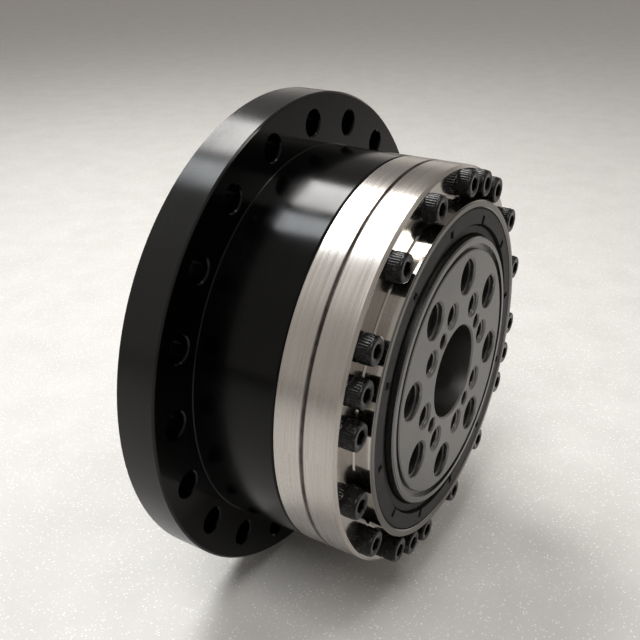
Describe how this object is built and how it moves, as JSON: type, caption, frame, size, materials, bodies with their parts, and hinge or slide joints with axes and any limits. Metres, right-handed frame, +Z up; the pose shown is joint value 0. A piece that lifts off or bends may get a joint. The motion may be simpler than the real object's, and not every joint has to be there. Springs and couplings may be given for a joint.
{
  "type": "strain wave gearbox",
  "caption": "Compact strain-wave gear unit: bolt-on black flange, screwed steel rings, sealed crossed-roller output plate with tapped holes and a central bore.",
  "frame": {"origin": "centre of the flange's back face, on the gear's axis", "axes": "-Y out of the output face along the gear's axis, +Z up, +X to the right as seen from the output side"},
  "size_m": [0.107, 0.0444, 0.107],
  "materials": {
    "black_oxide": "glossy black anodised or oxidised turned metal",
    "ground_steel": "ground steel with fine turning lines",
    "polished_steel": "hardened and polished bearing steel",
    "plate_steel": "satin grey ground steel",
    "screw_black": "black oxide on alloy steel, slightly oily",
    "seal_rubber": "dark grey nitrile rubber",
    "o_ring_rubber": "black nitrile rubber",
    "hidden_steel": "machined and hardened alloy steel",
    "ball_steel": "polished bearing balls and rollers",
    "cage_plastic": "moulded polyamide, amber brown",
    "spring_steel": "phosphated spring steel"
  },
  "bodies": {
    "housing": {"adapter_housing": "black_oxide", "circular_spline": "ground_steel", "spline_o_ring": "o_ring_rubber", "bearing_outer_ring": "ground_steel", "bearing_o_ring": "o_ring_rubber", "roller_fill_plug": "ground_steel", "fill_plug_pin": "hidden_steel", "output_seal": "seal_rubber", "seal_spring": "spring_steel", "housing_screws": "screw_black", "assembly_screws": "screw_black"},
    "output": {"bearing_inner_ring": "polished_steel", "output_plate": "plate_steel", "flexspline": "hidden_steel", "clamp_ring": "hidden_steel", "flexspline_screws": "screw_black", "dowel_pins": "hidden_steel"},
    "rollers": {"crossed_rollers_a": "ball_steel", "crossed_rollers_b": "ball_steel", "roller_spacers": "cage_plastic"},
    "input": {"wave_plug": "hidden_steel", "wave_inner_race": "hidden_steel", "wave_outer_race": "hidden_steel", "wave_balls": "ball_steel", "wave_cage": "cage_plastic", "oldham_insert": "hidden_steel", "oldham_hub": "hidden_steel", "hub_set_screws": "screw_black", "thrust_washer": "hidden_steel", "retaining_ring": "spring_steel"}
  },
  "joints": [
    {"name": "output_spin", "type": "hinge", "parent": "housing", "child": "output", "pos_m": [0, -0.0364, 0], "axis": [0, -1, 0], "continuous": true},
    {"name": "roller_orbit", "type": "hinge", "parent": "housing", "child": "rollers", "pos_m": [0, -0.0364, 0], "axis": [0, -1, 0], "continuous": true},
    {"name": "input_spin", "type": "hinge", "parent": "housing", "child": "input", "pos_m": [0, -0.013, 0], "axis": [0, -1, 0], "continuous": true, "deforming": ["flexspline"]}
  ],
  "couplings": [
    {"joint": "roller_orbit", "follows": "output_spin", "ratio": 0.5},
    {"joint": "input_spin", "follows": "output_spin", "ratio": -50}
  ]
}
